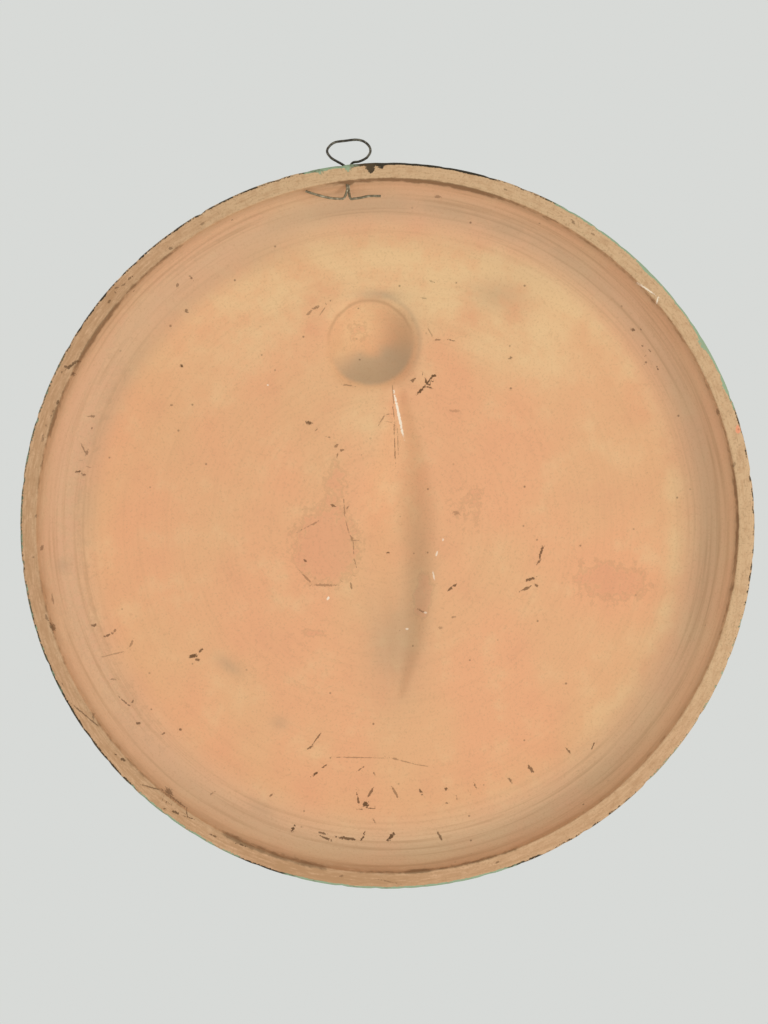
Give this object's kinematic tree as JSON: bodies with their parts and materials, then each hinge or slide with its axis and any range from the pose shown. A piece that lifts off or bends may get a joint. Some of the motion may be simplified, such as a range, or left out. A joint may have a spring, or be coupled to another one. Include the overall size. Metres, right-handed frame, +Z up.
{
  "type": "decorative wall plaque",
  "caption": "Round terracotta wall plaque: a shallow dish open at the back, with a flat rim, a flower relief on the front and a wire loop to hang it by.",
  "frame": {"origin": "inner top of the wire loop, where it bears on the nail", "axes": "+Z up, +Y from the wall towards the room, so the decorated front faces +Y and the open back faces -Y; +X to the right as seen from behind"},
  "size_m": [0.4, 0.058, 0.4094],
  "materials": {
    "terracotta": "matt unglazed fired clay",
    "dark_steel": "dull, darkened with age"
  },
  "bodies": {
    "root": {"plaque": "terracotta", "hanging_wire": "dark_steel"}
  },
  "joints": []
}
